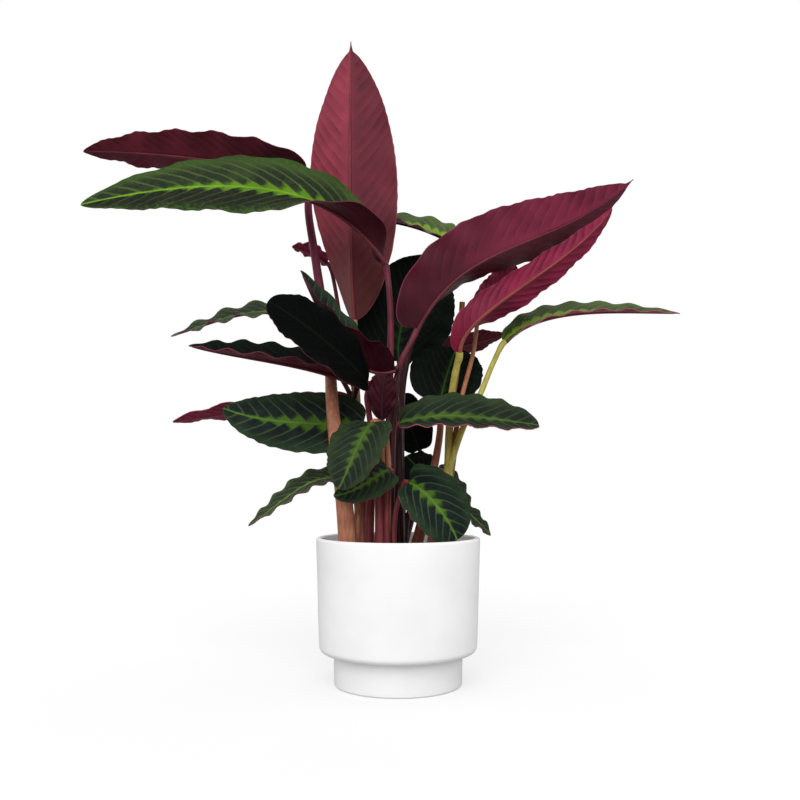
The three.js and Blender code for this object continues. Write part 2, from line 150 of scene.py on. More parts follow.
# Camera, light and floor
studio = {
    "camera": (0.002, -1.008, 0.230), "pitch": 94.384, "lens": 41.09,
    "air": 0.95, "sun": 1.6, "sunTurn": (52, -5, -2), "sunSoftness": 50,
    "floor": 0.36, "floorGlow": 0.55,
}

bpy.context.scene.view_settings.view_transform = "Standard"
cameraData = bpy.data.cameras.new("camera")
cameraData.sensor_width = 36
cameraData.lens = studio["lens"]
cameraData.clip_end = 50
camera = bpy.data.objects.new("camera", cameraData)
camera.location = studio["camera"]
camera.rotation_euler = (math.radians(studio["pitch"]), 0, 0)
bpy.context.collection.objects.link(camera)
bpy.context.scene.camera = camera

world = bpy.data.worlds.new("studio")
bpy.context.scene.world = world
world.use_nodes = True
worldTree = world.node_tree
air = worldTree.nodes["Background"]
air.inputs["Color"].default_value = (1, 1, 1, 1)
lightPath = worldTree.nodes.new("ShaderNodeLightPath")
feed(worldTree, air.inputs["Strength"],
     ramp(worldTree, lightPath.outputs["Is Camera Ray"], 0, 1, studio["air"], 1.0))

sunData = bpy.data.lights.new("window", "SUN")
sunData.energy = studio["sun"]
sunData.angle = math.radians(studio["sunSoftness"])
sun = bpy.data.objects.new("window", sunData)
sun.rotation_euler = [math.radians(a) for a in studio["sunTurn"]]
bpy.context.collection.objects.link(sun)

clearSelection()
bpy.ops.mesh.primitive_plane_add(size=30, location=(0, 0, 0))
floor = bpy.context.object
floor.name = "floor"
floorPaint, floorTree, floorShader = newMaterial("floorPaint")
floorShader.inputs["Roughness"].default_value = 0.9
floorShader.inputs["Specular IOR Level"].default_value = 0.0
floorSpeck = cloud(floorTree, objectPlace(floorTree), 0.4)
feed(floorTree, floorShader.inputs["Base Color"],
     mixColour(floorTree, floorSpeck, [studio["floor"]] * 3 + [1], [studio["floor"] + 0.03] * 3 + [1]))
floorShader.inputs["Emission Color"].default_value = (1, 1, 1, 1)
floorSight = floorTree.nodes.new("ShaderNodeLightPath")
feed(floorTree, floorShader.inputs["Emission Strength"],
     ramp(floorTree, floorSight.outputs["Is Camera Ray"], 0, 1, 0, studio["floorGlow"]))
floor.data.materials.append(floorPaint)
print("studio ready")

# Pot: rings pulled up and sized one after another, outside, over the rim and down inside
pot = {
    "height": 157, "rim": 89.5, "bodyFoot": 85.5, "foot": 69, "footHeight": 34,
    "footEdge": 2, "footFlare": 0.6, "fillet": 3, "corner": 7,
    "swell": [(70, 2.9), (100, 2), (130, 0.9)],   # height, and how far inside the rim's radius
    "wall": 6, "lipOuter": 2.5, "lipInner": 2, "floor": 6, "innerFloor": 48, "innerSlope": 6,
    "innerRise": 100, "innerTaper": 2, "draft": 1, "sides": 128,
    "glaze": tint(243, 243, 243), "glazeShade": tint(238, 238, 239),
}


def arc(centreR, centreZ, radius, start, end, steps):
    turns = [math.radians(start + (end - start) * i / steps) for i in range(steps + 1)]
    return [(centreR + radius * math.cos(a), centreZ + radius * math.sin(a)) for a in turns]


# The inner wall from the rim down to the floor. A gap draws it in for what fills the pot
def innerRings(gap=0):
    p = pot
    wall = p["wall"] + gap
    return [(p["rim"] - wall - p["innerTaper"], p["innerRise"]),
            (p["bodyFoot"] - wall - p["draft"], p["innerFloor"] + p["innerSlope"] + gap),
            (p["bodyFoot"] - wall - p["innerSlope"], p["innerFloor"] + gap),
            (p["foot"] - wall, p["innerFloor"] - p["innerSlope"] + gap),
            (p["foot"] - wall - p["draft"], p["floor"] + gap)]


def potRings():
    p = pot
    edge, fillet, corner, lip, inLip = p["footEdge"], p["fillet"], p["corner"], p["lipOuter"], p["lipInner"]
    stepTop = p["footHeight"] + p["draft"]
    rings = [(p["foot"] - edge - 0.5, 0)]
    rings += arc(p["foot"] - edge, edge, edge, -60, 0, 4)
    rings += [(p["foot"] + p["footFlare"], p["footHeight"] - fillet)]
    rings += arc(p["foot"] + p["footFlare"] + fillet, stepTop - fillet, fillet, 180, 90, 6)
    rings += arc(p["bodyFoot"] - corner, stepTop + corner, corner, -84, 0, 9)
    rings += [(p["rim"] - inset, height) for height, inset in p["swell"]]
    rings += arc(p["rim"] - lip, p["height"] - lip, lip, 0, 90, 7)
    rings += arc(p["rim"] - p["wall"] + inLip, p["height"] - inLip, inLip, 90, 180, 6)
    return rings + innerRings()


def pullRings(name, rings, sides):
    clearSelection()
    bpy.ops.mesh.primitive_circle_add(
        vertices=sides, radius=rings[0][0] * mm, fill_type="NGON", location=(0, 0, rings[0][1] * mm))
    piece = bpy.context.object
    bpy.ops.object.transform_apply(location=True, rotation=True, scale=True)
    bpy.ops.object.mode_set(mode="EDIT")
    bpy.ops.mesh.select_all(action="SELECT")
    for (r0, z0), (r1, z1) in zip(rings, rings[1:]):
        bpy.ops.mesh.extrude_region_move(
            TRANSFORM_OT_translate={"value": (0, 0, (z1 - z0) * mm)})
        k = r1 / r0
        bpy.ops.transform.resize(value=(k, k, 1), center_override=(0, 0, z1 * mm))
    bpy.ops.mesh.select_all(action="SELECT")
    bpy.ops.mesh.normals_make_consistent(inside=False)
    bpy.ops.object.mode_set(mode="OBJECT")
    piece.name = name
    return piece


potBody = pullRings("pot_body", potRings(), pot["sides"])
makeActive(potBody)
bpy.ops.object.shade_smooth_by_angle(angle=math.radians(35))
glaze, glazeTree, glazeShader = newMaterial("whiteGlaze")
place = objectPlace(glazeTree)
feed(glazeTree, glazeShader.inputs["Base Color"],
     mixColour(glazeTree, ramp(glazeTree, cloud(glazeTree, place, 0.05), 0.35, 0.7),
               pot["glaze"], pot["glazeShade"]))
feed(glazeTree, glazeShader.inputs["Roughness"],
     ramp(glazeTree, cloud(glazeTree, place, 0.012), 0.3, 0.7, 0.34, 0.44))
glazeShader.inputs["Specular IOR Level"].default_value = 0.35
relief(glazeTree, glazeShader, cloud(glazeTree, place, 0.02, 4.0), 0.0004, 0.25)
potBody.data.materials.append(glaze)
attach(potBody, "root")
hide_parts("pot")
print("pot ready")

# Soil: a bed with an uneven top, and loose crumbs on it
soil = {"top": 143, "clearance": 0.3, "rings": 30, "sides": 96,
        "shoulder": [(0.6, 4), (3, 1)],         # in from the wall, and below the top
        "flatEdge": 5, "middleHole": 0.4,
        "lumps": [(60, 1.4), (220, 1.1)],       # how close together, and how high
        "settle": 0.9,
        "crumbs": 330, "seed": 11, "crumbSize": (0.9, 2.4), "crumbLong": (0.7, 1.5),
        "crumbFlat": (0.5, 0.9), "crumbTilt": 0.6, "crumbSink": 0.4, "crumbEdge": 9,
        "dark": tint(38, 27, 20), "light": tint(84, 62, 44)}


def soilRings():
    rings = innerRings(soil["clearance"])[::-1]
    edge = pot["rim"] - pot["wall"] - soil["clearance"]
    rings += [(edge - inset, soil["top"] - below) for inset, below in soil["shoulder"]]
    flat, count = edge - soil["flatEdge"], soil["rings"]
    rings += [(flat * (1 - i / count) + soil["middleHole"], soil["top"]) for i in range(count)]
    return rings


soilBed = pullRings("soil_bed", soilRings(), soil["sides"])
for vertex in soilBed.data.vertices:
    if vertex.co.z > (soil["top"] - 0.5) * mm:
        rough = sum(noise.noise(vertex.co * close) * high for close, high in soil["lumps"])
        vertex.co.z += (rough - soil["settle"]) * mm
random.seed(soil["seed"])
crumbs = []
clearSelection()
bpy.ops.mesh.primitive_ico_sphere_add(subdivisions=1, radius=1 * mm)
firstCrumb = bpy.context.object
for i in range(soil["crumbs"]):
    crumb = firstCrumb.copy()
    crumb.data = firstCrumb.data.copy()
    bpy.context.collection.objects.link(crumb)
    away = (pot["rim"] - soil["crumbEdge"]) * math.sqrt(random.random())
    turn = random.uniform(0, 2 * math.pi)
    size = random.uniform(*soil["crumbSize"])
    long = size * random.uniform(*soil["crumbLong"])
    flat = size * random.uniform(*soil["crumbFlat"])
    spin = Matrix.Rotation(random.uniform(0, 6), 4, "Z")
    tilt = Matrix.Rotation(random.uniform(-soil["crumbTilt"], soil["crumbTilt"]), 4, "X")
    spot = Vector((away * math.cos(turn), away * math.sin(turn), soil["top"] - soil["crumbSink"]))
    shape = Matrix.Diagonal((long, size, flat, 1))
    crumb.data.transform(Matrix.Translation(spot * mm) @ spin @ tilt @ shape)
    crumbs.append(crumb)
bpy.data.objects.remove(firstCrumb)
soilBed = joinPieces([soilBed] + crumbs, "soil_bed")
bpy.ops.object.shade_smooth_by_angle(angle=math.radians(50))
earth, earthTree, earthShader = newMaterial("pottingSoil")
place = objectPlace(earthTree)
grain = cloud(earthTree, place, 0.0022, 6.0)
feed(earthTree, earthShader.inputs["Base Color"],
     mixColour(earthTree, ramp(earthTree, grain, 0.35, 0.72), soil["dark"], soil["light"]))
earthShader.inputs["Roughness"].default_value = 0.95
earthShader.inputs["Specular IOR Level"].default_value = 0.2
relief(earthTree, earthShader, grain, 0.0012, 0.8)
soilBed.data.materials.clear()
soilBed.data.materials.append(earth)
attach(soilBed, "root")
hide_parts("soil")
print("soil ready")

# Leaf colours. Green faces: flame along the midrib, dark patches between the side veins
# The last number of each look is painted shade: how much darker one half of the leaf is than the other
faceLook = {
    "vivid": {"midrib": tint(108, 150, 34), "flame": tint(84, 124, 26), "middle": tint(50, 64, 30),
              "patch": tint(24, 32, 22), "margin": tint(42, 70, 24), "line": tint(82, 104, 50),
              "flameWidth": 0.3, "flameTip": 0.25, "toothPower": 1.3, "streak": 0.3, "lineShare": 0.5,
              "ribShare": 1.0, "rough": 0.55, "shine": 0.1, "sideShade": 0.6},
    "lime": {"midrib": tint(120, 150, 46), "flame": tint(104, 134, 30), "middle": tint(74, 92, 42),
             "patch": tint(54, 68, 38), "margin": tint(64, 84, 40), "line": tint(94, 112, 60),
             "flameWidth": 0.4, "flameTip": 0.1, "toothPower": 0.5, "streak": 0.2, "lineShare": 0.5,
             "ribShare": 0.8, "rough": 0.55, "shine": 0.14, "sideShade": 0},
    "patterned": {"midrib": tint(94, 122, 50), "flame": tint(66, 98, 32), "middle": tint(38, 54, 38),
                  "patch": tint(17, 27, 26), "margin": tint(36, 54, 34), "line": tint(78, 96, 70),
                  "flameWidth": 0.29, "flameTip": 0.3, "toothPower": 1.0, "streak": 0.16, "lineShare": 0.75,
                  "ribShare": 0.6, "rough": 0.6, "shine": 0.12, "sideShade": 0},
    "mossy": {"midrib": tint(86, 112, 48), "flame": tint(60, 84, 34), "middle": tint(46, 58, 38),
              "patch": tint(27, 36, 29), "margin": tint(42, 60, 34), "line": tint(68, 82, 54),
              "flameWidth": 0.3, "flameTip": 0.3, "toothPower": 1.0, "streak": 0.12, "lineShare": 0.6,
              "ribShare": 0.5, "rough": 0.6, "shine": 0.12, "sideShade": 0},
    "dusty": {"midrib": tint(112, 140, 60), "flame": tint(80, 106, 40), "middle": tint(60, 72, 48),
              "patch": tint(40, 50, 38), "margin": tint(68, 88, 48), "line": tint(98, 112, 76),
              "flameWidth": 0.18, "flameTip": 0.4, "toothPower": 1.0, "streak": 0.12, "lineShare": 0.6,
              "ribShare": 0.6, "rough": 0.6, "shine": 0.14, "sideShade": 0},
    # dark and black: partly the leaves' own dark green, partly painted shade for leaves that stand in shade
    "dark": {"midrib": tint(50, 80, 34), "flame": tint(26, 44, 20), "middle": tint(16, 25, 18),
             "patch": tint(10, 15, 13), "margin": tint(16, 26, 18), "line": tint(34, 48, 36),
             "flameWidth": 0.16, "flameTip": 0.4, "toothPower": 1.2, "streak": 0.1, "lineShare": 0.7,
             "ribShare": 0.9, "rough": 0.65, "shine": 0.08, "sideShade": 0},
    "black": {"midrib": tint(20, 28, 17), "flame": tint(9, 13, 8), "middle": tint(8, 11, 9),
              "patch": tint(5, 7, 6), "margin": tint(12, 17, 14), "line": tint(14, 19, 15),
              "flameWidth": 0.14, "flameTip": 0.4, "toothPower": 1.2, "streak": 0.1, "lineShare": 0.5,
              "ribShare": 0.7, "rough": 0.7, "shine": 0.05, "sideShade": 0},
}
# Wine backs: painted shade of the pleats between the side veins, a pale thread along the edge
# The last number of each look is painted light and shade: how much lighter one half of the leaf is than the
# other
backLook = {
    # rose: the leaf's own wine colour, partly brightened as painted light shining through the leaf from
    # behind
    "rose": {"light": tint(124, 51, 65), "deep": tint(102, 40, 52), "base": tint(84, 42, 36),
             "edge": tint(134, 66, 74), "shadeEnd": 0.5, "rough": 0.5, "sideShade": 0.34},
    "wine": {"light": tint(92, 34, 46), "deep": tint(68, 23, 32), "base": tint(48, 16, 22),
             "edge": tint(112, 48, 64), "shadeEnd": 0.5, "rough": 0.5, "sideShade": 0},
    "claret": {"light": tint(110, 37, 59), "deep": tint(84, 26, 42), "base": tint(42, 10, 18),
               "edge": tint(120, 54, 74), "shadeEnd": 0.7, "rough": 0.45, "sideShade": 0.1},
    # crimson: partly painted light, bright as if lit through the leaf from behind
    "crimson": {"light": tint(130, 40, 66), "deep": tint(96, 27, 48), "base": tint(108, 26, 46),
                "edge": tint(156, 74, 100), "shadeEnd": 0.4, "rough": 0.45, "sideShade": 0},
    "deep": {"light": tint(54, 12, 26), "deep": tint(40, 9, 18), "base": tint(40, 9, 19),
             "edge": tint(60, 18, 32), "shadeEnd": 0.4, "rough": 0.5, "sideShade": 0},
}
ribLook = {"wine": tint(92, 38, 46), "brown": tint(112, 46, 50), "yellow": tint(130, 66, 60),
           "deep": tint(42, 14, 22)}
# Sizes in metres of the clouds that break up the leaf patterns. Threads: radians from vein to vein
leafGrain = {"faceWander": 0.014, "backWander": 0.016, "wanderShare": 0.3, "ragged": 0.004,
             "faceGrain": 0.0016, "backGrain": 0.0015, "patchCloud": 0.02, "pleatCloud": 0.04,
             "faceMottle": 0.03, "backMottle": 0.035, "faceThreads": 15.7, "backThreads": 18.85,
             "relief": 0.0003}


def greyOf(tree, value):
    node = tree.nodes.new("ShaderNodeCombineColor")
    for socket in node.inputs[:3]:
        feed(tree, socket, value)
    return node.outputs[0]


# Painted light and shade: one half of the leaf made lighter and the other darker, as light falls on it
def paintSideShade(tree, colour, share):
    side = ramp(tree, readAttribute(tree, "side"), -0.12, 0.12, 1 - share, 1 + share)
    return mixColour(tree, 1.0, colour, greyOf(tree, side), "MULTIPLY")


# Fine threads side by side between the side veins
def threads(tree, vein, turn):
    return calc(tree, "ABSOLUTE", calc(tree, "SINE", calc(tree, "MULTIPLY", vein, turn)))


def paintFace(name, look):
    paint, tree, shader = newMaterial("face_" + name)
    across = readAttribute(tree, "across")   # 0 at the midrib, 1 at the edge
    along = readAttribute(tree, "along")     # 0 at the base, 1 at the tip
    vein = readAttribute(tree, "vein")       # counts the side veins
    away = readAttribute(tree, "away")       # mm from the midrib
    place = objectPlace(tree)
    wander = calc(tree, "SUBTRACT", cloud(tree, place, leafGrain["faceWander"], 2.0), 0.5)
    vein = calc(tree, "ADD", vein, calc(tree, "MULTIPLY", wander, leafGrain["wanderShare"]))
    part = calc(tree, "FRACT", vein)
    tooth = calc(tree, "POWER", calc(tree, "SUBTRACT", 1.0, part), look["toothPower"])
    grain = cloud(tree, place, leafGrain["faceGrain"], 3.0)
    ragged = calc(tree, "SUBTRACT", cloud(tree, place, leafGrain["ragged"], 3.0), 0.5)
    narrow = ramp(tree, along, 0.35, 0.95, 1.0, look["flameTip"])
    reach = calc(tree, "MULTIPLY", calc(tree, "MULTIPLY_ADD", tooth, 0.78, 0.22), look["flameWidth"])
    reach = calc(tree, "MULTIPLY", reach, narrow)
    reach = calc(tree, "ADD", reach, calc(tree, "MULTIPLY", wander, 0.12))
    reach = calc(tree, "ADD", reach, calc(tree, "MULTIPLY", ragged, 0.1))
    inside = calc(tree, "SUBTRACT", reach, across)
    flame = ramp(tree, inside, -0.05, 0.07)
    hump = calc(tree, "MULTIPLY", calc(tree, "MULTIPLY", part, calc(tree, "SUBTRACT", 1.0, part)), 4.0)
    patch = calc(tree, "MULTIPLY", ramp(tree, hump, 0.05, 0.7), ramp(tree, across, 0.5, 0.95, 1.0, 0.1))
    worn = ramp(tree, cloud(tree, place, leafGrain["patchCloud"], 2.0), 0.25, 0.6, 0.6, 1.0)
    patch = calc(tree, "MULTIPLY", patch, worn)
    colour = mixColour(tree, patch, look["middle"], look["patch"])
    # Painted shade: one half of the green face darker than the other
    colour = paintSideShade(tree, colour, look["sideShade"])
    border = ramp(tree, calc(tree, "ADD", across, ragged), 0.8, 1.02)
    colour = mixColour(tree, border, colour, look["margin"])
    fine = threads(tree, vein, leafGrain["faceThreads"])
    streak = calc(tree, "MULTIPLY", ramp(tree, fine, 0.8, 1.0), ramp(tree, ragged, -0.15, 0.2))
    colour = mixColour(tree, calc(tree, "MULTIPLY", streak, look["streak"]), colour, look["line"])
    nearVein = calc(tree, "MINIMUM", part, calc(tree, "SUBTRACT", 1.0, part))
    line = calc(tree, "MULTIPLY", ramp(tree, nearVein, 0.0, 0.045, look["lineShare"], 0.0),
                ramp(tree, across, 0.55, 0.98, 1.0, 0.3))
    colour = mixColour(tree, line, colour, look["line"])
    glow = mixColour(tree, ramp(tree, inside, 0.0, 0.3), look["flame"], look["midrib"])
    colour = mixColour(tree, flame, colour, mixColour(tree, 0.25, look["flame"], glow))
    rib = ramp(tree, away, 0.3, 1.5, look["ribShare"], 0.0)
    colour = mixColour(tree, rib, colour, look["midrib"])
    mottle = ramp(tree, cloud(tree, place, leafGrain["faceMottle"], 3.0), 0.3, 0.7, 0.82, 1.14)
    colour = mixColour(tree, 1.0, colour, greyOf(tree, mottle), "MULTIPLY")
    feed(tree, shader.inputs["Base Color"], colour)
    rough = look["rough"]
    feed(tree, shader.inputs["Roughness"], ramp(tree, grain, 0.3, 0.7, rough - 0.05, rough + 0.12))
    shader.inputs["Specular IOR Level"].default_value = look["shine"]
    height = calc(tree, "ADD", calc(tree, "MULTIPLY", fine, 0.5), calc(tree, "MULTIPLY", grain, 0.35))
    relief(tree, shader, height, leafGrain["relief"], 0.5)
    return paint


def paintBack(name, look):
    paint, tree, shader = newMaterial("back_" + name)
    across = readAttribute(tree, "across")
    along = readAttribute(tree, "along")
    vein = readAttribute(tree, "vein")
    place = objectPlace(tree)
    wander = calc(tree, "SUBTRACT", cloud(tree, place, leafGrain["backWander"], 2.0), 0.5)
    vein = calc(tree, "ADD", vein, calc(tree, "MULTIPLY", wander, leafGrain["wanderShare"]))
    part = calc(tree, "FRACT", vein)
    # Painted shade: each pleat runs from the light colour after one vein to the deep colour before the next
    pleatShade = calc(tree, "MULTIPLY", ramp(tree, part, 0.0, 1.0), ramp(tree, across, 0.05, 0.35))
    faded = ramp(tree, cloud(tree, place, leafGrain["pleatCloud"], 2.0), 0.35, 0.65, 0.25, 1.0)
    pleatShade = calc(tree, "MULTIPLY", pleatShade, faded)
    colour = mixColour(tree, pleatShade, look["light"], look["deep"])
    crease = calc(tree, "MULTIPLY", ramp(tree, part, 0.0, 0.09, 0.35, 0.0), ramp(tree, across, 0.05, 0.3))
    colour = mixColour(tree, crease, colour, look["edge"])
    # Darker towards the leaf's base: partly the base's own browner colour, partly painted shade
    colour = mixColour(tree, ramp(tree, along, 0.0, look["shadeEnd"], 0.85, 0.0), colour, look["base"])
    # Painted light and shade: one half of the wine back lighter than the other
    colour = paintSideShade(tree, colour, look["sideShade"])
    fine = threads(tree, vein, leafGrain["backThreads"])
    thread = calc(tree, "MULTIPLY", ramp(tree, fine, 0.85, 1.0), 0.06)
    colour = mixColour(tree, thread, colour, look["edge"])
    colour = mixColour(tree, ramp(tree, across, 0.965, 0.998), colour, look["edge"])
    grain = cloud(tree, place, leafGrain["backGrain"], 3.0)
    mottle = ramp(tree, cloud(tree, place, leafGrain["backMottle"], 4.0), 0.3, 0.7, 0.84, 1.14)
    colour = mixColour(tree, 1.0, colour, greyOf(tree, mottle), "MULTIPLY")
    feed(tree, shader.inputs["Base Color"], colour)
    rough = look["rough"]
    feed(tree, shader.inputs["Roughness"], ramp(tree, grain, 0.3, 0.7, rough - 0.05, rough + 0.1))
    shader.inputs["Specular IOR Level"].default_value = 0.1
    height = calc(tree, "ADD", calc(tree, "MULTIPLY", fine, 0.4), calc(tree, "MULTIPLY", grain, 0.3))
    relief(tree, shader, height, leafGrain["relief"], 0.4)
    return paint


# Two colours that meet between two heights in mm, each with streaks along the stalk
def paintStalk(name, low, high, start, end, lowStreak, highStreak):
    paint, tree, shader = newMaterial("stalk_" + name)
    place = objectPlace(tree)
    split = tree.nodes.new("ShaderNodeSeparateXYZ")
    feed(tree, split.inputs[0], place)
    rise = ramp(tree, split.outputs["Z"], start * mm, end * mm)
    colour = mixColour(tree, rise, low, high)
    fibre = cloud(tree, place, 0.004, 3.0, (1.6, 1.6, 0.12))
    streak = mixColour(tree, rise, lowStreak, highStreak)
    colour = mixColour(tree, ramp(tree, fibre, 0.42, 0.68, 0.0, 0.6), colour, streak)
    blotch = ramp(tree, cloud(tree, place, 0.02, 3.0), 0.3, 0.7, 0.8, 1.15)
    colour = mixColour(tree, 1.0, colour, greyOf(tree, blotch), "MULTIPLY")
    feed(tree, shader.inputs["Base Color"], colour)
    feed(tree, shader.inputs["Roughness"], ramp(tree, fibre, 0.3, 0.7, 0.38, 0.5))
    shader.inputs["Specular IOR Level"].default_value = 0.2
    relief(tree, shader, fibre, 0.0005, 0.5)
    return paint


facePaint = {name: paintFace(name, look) for name, look in faceLook.items()}
backPaint = {name: paintBack(name, look) for name, look in backLook.items()}
ribPaint = {name: paintStalk("rib_" + name, colour, colour, 0, 1000, colour, colour)
            for name, colour in ribLook.items()}
print("leaf paints ready")

